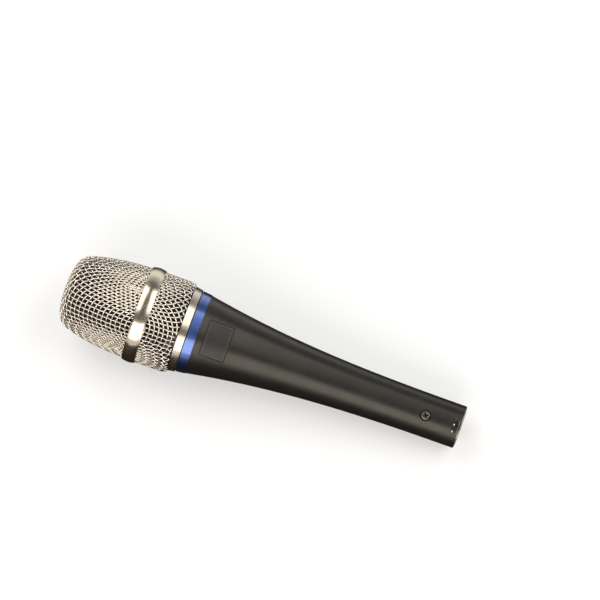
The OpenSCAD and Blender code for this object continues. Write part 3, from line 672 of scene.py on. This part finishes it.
class MICROPHONE_OT_rear_basket(BuildOperator, bpy.types.Operator):
    """Weave the rear basket from the collar to the band"""

    bl_idname = "microphone.rear_basket"
    bl_label = "Rear Basket"

    def execute(self, context):
        wire = context.scene.microphone_sizes.wire
        outline = outline_of("rear_basket")
        low, high = outline[0][1] + wire, outline[-1][1]
        wall = max(radius for radius, height in outline) - wire
        bend = [(wall - REAR_BEND * (1 - math.sin(turn)), low + REAR_BEND * (1 - math.cos(turn)))
                for turn in (math.pi / 2 * k / ARC_STEPS for k in range(ARC_STEPS + 1))]
        former = Former([(0.0, low)] + bend + [(wall, high), (wall, high + RUN_ON)])
        # the wires end on the collar
        skirt = outline_of("head_collar", outline[0][1] + 1 * MM)
        start = max(radius for radius, height in skirt) + wire
        return weave_basket(context, former, wall - REAR_BEND, start, "rear_basket")


FOAM_WAVE = 7 * MM  # from one swelling of the foam to the next
FOAM_SWELL = 0.25 * MM  # how far the foam swells and sinks
FOAM_SEED = 1  # gives the same foam in every run, where the noise would follow the clock
FOAM_ROWS = 8  # rows of faces down the lower half of the foam's wall
FOAM_RING = 0.6  # where a ring divides the flat inside its top, as a share of the flat's radius


class MICROPHONE_OT_foam(BuildOperator, bpy.types.Operator):
    """Form the foam that lines both baskets"""

    bl_idname = "microphone.foam"
    bl_label = "Foam Liner"

    def execute(self, context):
        thick = context.scene.microphone_sizes.foam_thick
        outer = dome_of("foam_liner")
        top = outer[0][1]
        wall, bottom = outer[-1]
        under = top - thick
        inner = [(max(0.0, r - thick), min(z, under)) for r, z in outer if z < under]
        inner = [(0.0, under), (inner[0][0] * FOAM_RING, under)] + inner
        step = (top - bottom) / 2 / FOAM_ROWS
        rows = [(wall, bottom + step * k) for k in range(FOAM_ROWS, -1, -1)]
        path = [p for p in outer if p[1] > rows[0][1]] + rows
        bm = turned(path + inner[::-1], closed=False)
        noise.seed_set(FOAM_SEED)
        for vertex in bm.verts:
            vertex.co += noise.noise_vector(vertex.co / FOAM_WAVE) * FOAM_SWELL
        piece = place(bm, "foam_liner_soft", "head", "foam", replaces=["foam_liner"])
        return {"FINISHED"}


THREAD_FOOT = 0.42  # half a thread's width at its root, in pitches
THREAD_CREST = 0.1  # half its width at its crest, in pitches
SUNK = 0.05 * MM  # how deep the ridge reaches into the sleeve that it stands on


class MICROPHONE_OT_thread(BuildOperator, bpy.types.Operator):
    """Cut the thread on the neck sleeve"""

    bl_idname = "microphone.thread"
    bl_label = "Threaded Sleeve"

    def execute(self, context):
        sizes = context.scene.microphone_sizes
        corners = corners_of("thread_sleeve")
        bore = corners[-2][1]
        inner = [(radius, height) for height, radius in corners if radius <= bore]
        outer = [(radius, height) for height, radius in corners if radius > bore]
        crest, top = outer[-1]
        root = crest - sizes.thread_depth
        start = outline_of("seal_ring")[0][1]
        bm = turned(outer[:-1] + [(crest, start), (root, start), (root, top)] + inner[::-1])
        foot, tip = THREAD_FOOT * sizes.thread_pitch, THREAD_CREST * sizes.thread_pitch
        ridge = [(root - SUNK, -foot), (root, -foot), (crest, -tip), (crest, tip), (root, foot),
                 (root - SUNK, foot)]
        turns = (top - start) / sizes.thread_pitch - 1
        screw_ridge(bm, ridge, start + foot, sizes.thread_pitch, turns)
        place(bm, "thread_sleeve_cut", "handle", "sleeve_metal", replaces=["thread_sleeve"])
        return {"FINISHED"}


FLOAT_SPARE = 0.03 * MM  # what is left between the capsule and its rings at the end of its travel
MOULD_EDGE = 0.12 * MM  # radius of a moulded ring's edges


def float_travel():
    """How far the capsule floats each way, and a little over."""
    return max(JOINTS["capsule_float"]["range_m"]) + FLOAT_SPARE


def moulded(profile):
    """Spins a ring's (radius, height) outline and rounds its sharp edges."""
    bm = turned(profile)
    sharp = [edge for edge in bm.edges if edge.calc_face_angle(0) > math.radians(60)]
    bmesh.ops.bevel(bm, geom=sharp, offset=MOULD_EDGE, segments=2, profile=0.5, affect="EDGES",
                    material=-1)
    return bm


class MICROPHONE_OT_shock_rings(BuildOperator, bpy.types.Operator):
    """Mould the two rubber rings that the capsule floats in"""

    bl_idname = "microphone.shock_rings"
    bl_label = "Shock Rings"

    def execute(self, context):
        room = float_travel()
        # round the housing's bead: the groove leaves room for the float
        corners = corners_of("front_shock_ring")
        inner, groove, cup, rim = sorted({radius for height, radius in corners})
        low, top = corners[0][0], corners[-1][0]
        neck = min(height for height, radius in corners if radius == rim)
        bead = [height for height, radius in corners if radius == groove]
        above, below = max(bead) + room, min(bead) - room
        profile = [(inner, low), (cup, low), (cup, neck), (rim, neck), (rim, top), (inner, top),
                   (inner, above), (groove, above), (groove, below), (inner, below)]
        place(moulded(profile), "front_shock_ring_moulded", "handle", "shock_rubber",
              replaces=["front_shock_ring"])
        # under the housing: its wall stops short of the ring above; the real lip gives with the float, but this
        # piece stays rigid where it lies
        corners = corners_of("rear_shock_ring")
        hole, inner, wall = sorted({radius for height, radius in corners})
        low, lip, top = sorted({height for height, radius in corners})
        end = top - room
        profile = [(hole, low), (wall, low), (wall, end), (inner, end), (inner, lip), (hole, lip)]
        place(moulded(profile), "rear_shock_ring_moulded", ("handle", "capsule"), "shock_rubber",
              replaces=["rear_shock_ring"], bends=(low, lip))
        return {"FINISHED"}


class MICROPHONE_OT_leads(BuildOperator, bpy.types.Operator):
    """Run the two signal leads from the contacts to the floating capsule"""

    bl_idname = "microphone.leads"
    bl_label = "Signal Leads"

    def execute(self, context):
        for node in ("hot_lead", "cold_lead"):
            rings = {}
            for point in upright_points(node):
                rings.setdefault(round(point.z, 4), []).append(point)
            line = [sum(rings[height], Vector()) / len(rings[height]) for height in sorted(rings)]
            radius = max((point - line[0]).length for point in rings[min(rings)])
            place(tubes([(line, False)], radius, roundness=4), node + "_wire", ("handle", "capsule"),
                  SLOT_OF[node], replaces=[node], bends=(line[0].z, line[-1].z))
        return {"FINISHED"}


# the plate's two lines, the outer a painted shadow of the gap round the plate and the inner printed: name, finish,
# distance from its edge and half the line's width
PLATE_LINES = (("plate_edge_line", "plate_edge", 0.3 * MM, 0.2 * MM),
               ("plate_border", "plate_ink", 1.2 * MM, 0.09 * MM))
LINE_CORNER = 0.4 * MM  # radius of the lines' corners
LINE_STEP = 0.5 * MM  # how far a line runs straight, short enough to follow the handle
HALF_FOIL = 0.2 * MM  # half the plate's thickness


def rounded_rectangle(half_wide, half_long):
    """Points round a printed line, close together and with its corners rounded."""
    ring = []
    for quarter, (side, end) in enumerate(((1, 1), (-1, 1), (-1, -1), (1, -1))):
        for turn in (math.pi / 2 * (quarter + k / ARC_STEPS) for k in range(ARC_STEPS + 1)):
            ring.append((side * (half_wide - LINE_CORNER) + LINE_CORNER * math.cos(turn),
                         end * (half_long - LINE_CORNER) + LINE_CORNER * math.sin(turn)))
    path = []
    for (x0, y0), (x1, y1) in zip(ring, ring[1:] + ring[:1]):
        steps = max(1, round(math.hypot(x1 - x0, y1 - y0) / LINE_STEP))
        path += [(x0 + (x1 - x0) * k / steps, y0 + (y1 - y0) * k / steps) for k in range(steps)]
    return path


class MICROPHONE_OT_plate_border(BuildOperator, bpy.types.Operator):
    """Print the border on the name plate, with a painted shadow line of the gap round its edge"""

    bl_idname = "microphone.plate_border"
    bl_label = "Plate Border"

    def execute(self, context):
        spots = upright_points("name_plate")
        turns = [math.atan2(p.y, p.x) for p in spots]
        middle_turn, half_turn = (max(turns) + min(turns)) / 2, (max(turns) - min(turns)) / 2
        heights = [p.z for p in spots]
        middle, half_long = (max(heights) + min(heights)) / 2, (max(heights) - min(heights)) / 2
        # its outer face only: some heights have corners on its back alone
        surface = outline_of("name_plate")
        (first, start), (last, stop) = surface[0], surface[-1]
        slope = (last - first) / (stop - start)
        surface = [(r, z) for r, z in surface if r > first + slope * (z - start) - HALF_FOIL]
        radii, levels = zip(*surface)
        half_wide = half_turn * np.interp(middle, levels, radii)
        for name, look, margin, half_line in PLATE_LINES:
            points = []
            for across, along in rounded_rectangle(half_wide - margin, half_long - margin):
                height = middle + along
                radius = np.interp(height, levels, radii)
                turn = middle_turn + across / radius
                points.append((radius * math.cos(turn), radius * math.sin(turn), height))
            place(tubes([(points, True)], half_line), name, "handle", "plate_foil", look)
        return {"FINISHED"}


CROSS = (0.7, 0.2)  # length and half thickness of the cross's arms, as shares of the head's radius
CROSS_DEEP = 1.2  # depth of the cross, as a share of the head's height
CROSS_TAPER = 0.7  # size of the cross at its bottom
CROSS_TURN = 0.5  # radians, as it happened to be tightened
HEAD_BEVEL = 0.35  # height of the head's rounded edge, as a share of the head's height
SCREW_SIDES = 48


class MICROPHONE_OT_screw(BuildOperator, bpy.types.Operator):
    """Shape the crosshead screw beside the socket"""

    bl_idname = "microphone.screw"
    bl_label = "Socket Screw"

    def execute(self, context):
        spots = upright_points("connector_screw")
        centre = sum(spots, Vector()) / len(spots)
        facing = Matrix.Rotation(math.atan2(centre.y, centre.x), 4, "Z")
        spots = [facing.inverted() @ p for p in spots]
        height = (min(p.z for p in spots) + max(p.z for p in spots)) / 2
        top, base = max(p.x for p in spots), min(p.x for p in spots)
        head = max(p.z for p in spots) - height
        under = min(p.x for p in spots if abs(p.z - height) > head - NEAR)
        shank = max(math.hypot(p.y, p.z - height) for p in spots if p.x < under - NEAR)
        bevel = HEAD_BEVEL * (top - under)
        bottom = top - CROSS_DEEP * (top - under)
        arm, thick = (share * head for share in CROSS)
        # outline of the cross, then of the bevelled head down to the shank's end
        arms = [(arm, -thick), (arm, thick), (thick, thick)]
        cross = arms + [(-z, y) for y, z in arms] + [(-y, -z) for y, z in arms] + [(z, -y) for y, z in arms]
        loops = [[(share * y, share * z, level) for y, z in cross]
                 for share, level in ((CROSS_TAPER, bottom), (1, top))]
        turns = [math.tau * k / SCREW_SIDES for k in range(SCREW_SIDES)]
        for radius, level in ((head - bevel, top), (head - 0.3 * bevel, top - 0.25 * bevel),
                              (head, top - bevel), (head, under), (shank, under), (shank, base)):
            loops.append([(radius * math.cos(turn), radius * math.sin(turn), level) for turn in turns])
        bm = bmesh.new()
        rings = [[bm.verts.new(p) for p in loop] for loop in loops]
        edges = [[bm.edges.new(pair) for pair in zip(ring, ring[1:] + ring[:1])] for ring in rings]
        for first, second in zip(edges, edges[1:]):
            bmesh.ops.bridge_loops(bm, edges=first + second)
        bm.faces.new(rings[0])
        bm.faces.new(rings[-1])
        bmesh.ops.recalc_face_normals(bm, faces=bm.faces)
        bm.faces.index_update()
        recess = [face.index for face in bm.faces if set(face.verts) <= set(rings[0] + rings[1])]
        smooth(bm)
        # from standing on its shank to pointing out of the handle
        cos, sin = math.cos(CROSS_TURN), math.sin(CROSS_TURN)
        outward = Matrix(((0, 0, 1), (cos, -sin, 0), (sin, cos, 0))).to_4x4()
        bm.transform(facing @ Matrix.Translation((0, 0, height)) @ outward)
        piece = place(bm, "connector_screw_cross", "handle", "screw_steel", replaces=["connector_screw"])
        # painted shade: the cross's recess gets a near-black second material
        piece.data.materials.append(material_for("screw_recess"))
        for index in recess:
            piece.data.polygons[index].material_index = 1
        return {"FINISHED"}


def finish_nodes(*nodes):
    """Gives nodes of the frame the finishes of their slots."""
    for node in nodes:
        frame["nodes"][node].material_slots[0].material = material_for(SLOT_OF[node])
    return {"FINISHED"}


class MICROPHONE_OT_outer_finishes(BuildOperator, bpy.types.Operator):
    """Finish the handle, plate, rings, collar and band"""

    bl_idname = "microphone.outer_finishes"
    bl_label = "Outer Finishes"

    def execute(self, context):
        return finish_nodes("handle_shell", "name_plate", "trim_ring", "seal_ring", "head_collar",
                            "grille_band")


class MICROPHONE_OT_socket_finishes(BuildOperator, bpy.types.Operator):
    """Finish the socket, its contacts and the ground lead"""

    bl_idname = "microphone.socket_finishes"
    bl_label = "Socket Finishes"

    def execute(self, context):
        return finish_nodes("screw_insert", "connector_insulator", "ground_contact", "hot_contact",
                            "cold_contact", "ground_tag", "ground_lead")


class MICROPHONE_OT_capsule_finishes(BuildOperator, bpy.types.Operator):
    """Finish the capsule"""

    bl_idname = "microphone.capsule_finishes"
    bl_label = "Capsule Finishes"

    def execute(self, context):
        return finish_nodes("capsule_housing", "resonator_cap", "dust_screen", "clamp_ring", "pole_ring",
                            "pole_plate", "magnet", "yoke_cup", "magnet_frame", "hum_coil", "acoustic_felt",
                            "terminal_board", "solder_lugs", "diaphragm", "voice_coil")


# --- the stage ---

# the soft boxes: name, lean from overhead to the front and swing to the right in degrees,
# length, width, radiance and colour
BOXES = (
    ("front_box", 57, 0, 2.2, 1.25, 2.9, "#FFF6EA"),
    ("overhead_left", -26, -33, 1.1, 1.7, 2.4, "#FFFCF6"),
    ("overhead_right", -26, 33, 1.1, 1.7, 2.4, "#FFFCF6"),
    ("left_box", 0, -66, 0.7, 1.6, 1.5, "#FFFCF6"),
    ("right_box", 0, 66, 0.7, 1.6, 1.5, "#FFFCF6"),
)
BOX_DISTANCE = 1.6
FLOOR_RADIUS = 4.0
FLOOR_DROP = 0.2 * MM  # below the microphone, so that nothing lies in the floor's own plane
MAT = (-0.5, -0.4, 0.065, 0.1)  # from front to back, where the dark mat fades in and where it fades out
GLOW = (0.15, 0.9, 0.35)  # how near the floor starts to whiten, how far it is white, and its glow near by
WALL = (0.08, 0.35, 0.7, 0.16)  # how low and how high the wall ends, its light and the ceiling's
AZIMUTH, ELEVATION = math.radians(18.98), math.radians(74)
CAMERA_DISTANCE, CAMERA_LENS = 1.8413, 210
LOOK_AT = Vector((0.0079, 0.0360, 0.02))


def light_box(name, lean, swing, long, wide, radiance, hex_colour):
    """A soft box that faces the microphone."""
    lean, swing = math.radians(lean), math.radians(swing)
    towards = Vector((math.sin(swing), -math.sin(lean) * math.cos(swing), math.cos(lean) * math.cos(swing)))
    lamp = bpy.data.lights.new(name, "AREA")
    lamp.shape, lamp.size, lamp.size_y = "RECTANGLE", long, wide
    lamp.energy = radiance * math.pi * long * wide
    lamp.color = linear(hex_colour)
    holder = bpy.data.objects.new(name, lamp)
    holder.location = towards * BOX_DISTANCE
    # its long side stays level with the floor
    level = Vector((math.cos(swing), 0, -math.sin(swing)))
    level = (level - towards * level.dot(towards)).normalized()
    holder.rotation_euler = Matrix((level, towards.cross(level), towards)).transposed().to_euler()
    holder.visible_camera = False
    bpy.context.scene.collection.objects.link(holder)


def paper():
    """Pale paper that turns to white away from the microphone, which itself sees a dark mat in it."""
    material = bpy.data.materials.new("pale_paper")
    material.use_nodes = True
    shader = material.node_tree.nodes["Principled BSDF"]
    link = material.node_tree.links.new
    rays = add(material, "LightPath").outputs
    spot = add(material, "TexCoord").outputs["Object"]
    across = add(material, "SeparateXYZ", {0: spot}).outputs[1]
    nearest, near, far, farthest = MAT
    front = add(material, "MapRange", {"Value": across, "From Min": near, "From Max": nearest}).outputs[0]
    back = add(material, "MapRange", {"Value": across, "From Min": far, "From Max": farthest}).outputs[0]
    plain = add(material, "Math", {0: back, 1: front}, operation="ADD").outputs[0]
    plain = add(material, "Math", {0: plain, 1: rays["Is Camera Ray"]}, operation="ADD", use_clamp=True)
    dark, pale = (*linear("#2A2623"), 1.0), (*linear("#EEF0F3"), 1.0)
    sheet = add(material, "Mix", {0: plain.outputs[0], 6: dark, 7: pale}, data_type="RGBA")
    link(sheet.outputs[2], shader.inputs["Base Color"])
    shader.inputs["Roughness"].default_value = 0.9
    shader.inputs["Specular IOR Level"].default_value = 0.0
    glow = add(material, "Emission", {"Color": (1, 1, 1, 1), "Strength": 1.0})
    seen = add(material, "Math", {0: rays["Is Camera Ray"], 1: rays["Is Transmission Ray"]}, operation="ADD")
    away = add(material, "VectorMath", {0: spot}, operation="LENGTH").outputs["Value"]
    start, white, least = GLOW
    fade = add(material, "MapRange", {"Value": away, "From Min": start, "From Max": white,
                                      "To Min": least, "To Max": 1.0})
    share = add(material, "Math", {0: seen.outputs[0], 1: fade.outputs[0]}, operation="MULTIPLY").outputs[0]
    mix = add(material, "MixShader", {0: share, 1: shader.outputs[0], 2: glow.outputs[0]})
    link(mix.outputs[0], material.node_tree.nodes["Material Output"].inputs["Surface"])
    return material


def studio_world():
    """A bright wall all round under a darker ceiling, which the camera sees as white."""
    world = bpy.data.worlds.new("studio")
    world.use_nodes = True
    background = world.node_tree.nodes["Background"]
    low, high, wall, ceiling = WALL
    sky = add(world, "SeparateXYZ", {0: add(world, "TexCoord").outputs["Generated"]}).outputs[2]
    light = add(world, "MapRange", {"Value": sky, "From Min": low, "From Max": high,
                                    "To Min": wall, "To Max": ceiling}).outputs[0]
    straight = add(world, "LightPath").outputs["Is Camera Ray"]
    strength = add(world, "Math", {0: light, 1: straight}, operation="MAXIMUM").outputs[0]
    world.node_tree.links.new(strength, background.inputs["Strength"])
    background.inputs["Color"].default_value = (1, 1, 1, 1)
    return world


class MICROPHONE_OT_stage(BuildOperator, bpy.types.Operator):
    """Lay the floor, hang the lights and place the camera"""

    bl_idname = "microphone.stage"
    bl_label = "Stage"

    def execute(self, context):
        scene = context.scene
        bm = bmesh.new()
        bmesh.ops.create_circle(bm, cap_ends=True, segments=96, radius=FLOOR_RADIUS)
        mesh = bpy.data.meshes.new("paper_floor")
        bm.to_mesh(mesh)
        bm.free()
        mesh.materials.append(paper())
        floor = bpy.data.objects.new("paper_floor", mesh)
        floor.location.z = -FLOOR_DROP
        scene.collection.objects.link(floor)
        for box in BOXES:
            light_box(*box)
        scene.world = studio_world()
        back = Vector((math.sin(AZIMUTH) * math.cos(ELEVATION), -math.cos(AZIMUTH) * math.cos(ELEVATION),
                       math.sin(ELEVATION)))
        lens = bpy.data.cameras.new("camera")
        lens.lens, lens.sensor_width = CAMERA_LENS, 36
        lens.clip_start, lens.clip_end = 0.1, 20
        camera = bpy.data.objects.new("camera", lens)
        camera.location = LOOK_AT + back * CAMERA_DISTANCE
        camera.rotation_euler = back.to_track_quat("Z", "Y").to_euler()
        scene.collection.objects.link(camera)
        scene.camera = camera
        scene.view_settings.view_transform = "Standard"
        return {"FINISHED"}


OPERATORS = (
    MICROPHONE_OT_outer_finishes, MICROPHONE_OT_socket_finishes, MICROPHONE_OT_capsule_finishes,
    MICROPHONE_OT_plate_border, MICROPHONE_OT_front_basket, MICROPHONE_OT_rear_basket, MICROPHONE_OT_foam,
    MICROPHONE_OT_thread, MICROPHONE_OT_screw, MICROPHONE_OT_shock_rings, MICROPHONE_OT_leads,
    MICROPHONE_OT_stage,
)


class MICROPHONE_PT_panel(bpy.types.Panel):
    """The steps that build the microphone's looks"""

    bl_idname = "MICROPHONE_PT_panel"
    bl_label = "Dynamic Microphone"
    bl_space_type = "VIEW_3D"
    bl_region_type = "UI"
    bl_category = "Microphone"

    def draw(self, context):
        for step in OPERATORS:
            self.layout.operator(step.bl_idname)
        for group in (context.scene.microphone_sizes, context.scene.microphone_colours):
            for name in group.bl_rna.properties.keys():
                if name not in ("rna_type", "name"):
                    self.layout.prop(group, name)


CLASSES = (MicrophoneSizes, MicrophoneColours) + OPERATORS + (MICROPHONE_PT_panel,)


def register():
    for each in CLASSES:
        bpy.utils.register_class(each)
    bpy.types.Scene.microphone_sizes = PointerProperty(type=MicrophoneSizes)
    bpy.types.Scene.microphone_colours = PointerProperty(type=MicrophoneColours)


def unregister():
    del bpy.types.Scene.microphone_colours
    del bpy.types.Scene.microphone_sizes
    for each in reversed(CLASSES):
        bpy.utils.unregister_class(each)


def main():
    register()
    for step in OPERATORS:
        section, name = step.bl_idname.split(".")
        getattr(getattr(bpy.ops, section), name)()


if __name__ == "__main__":
    main()
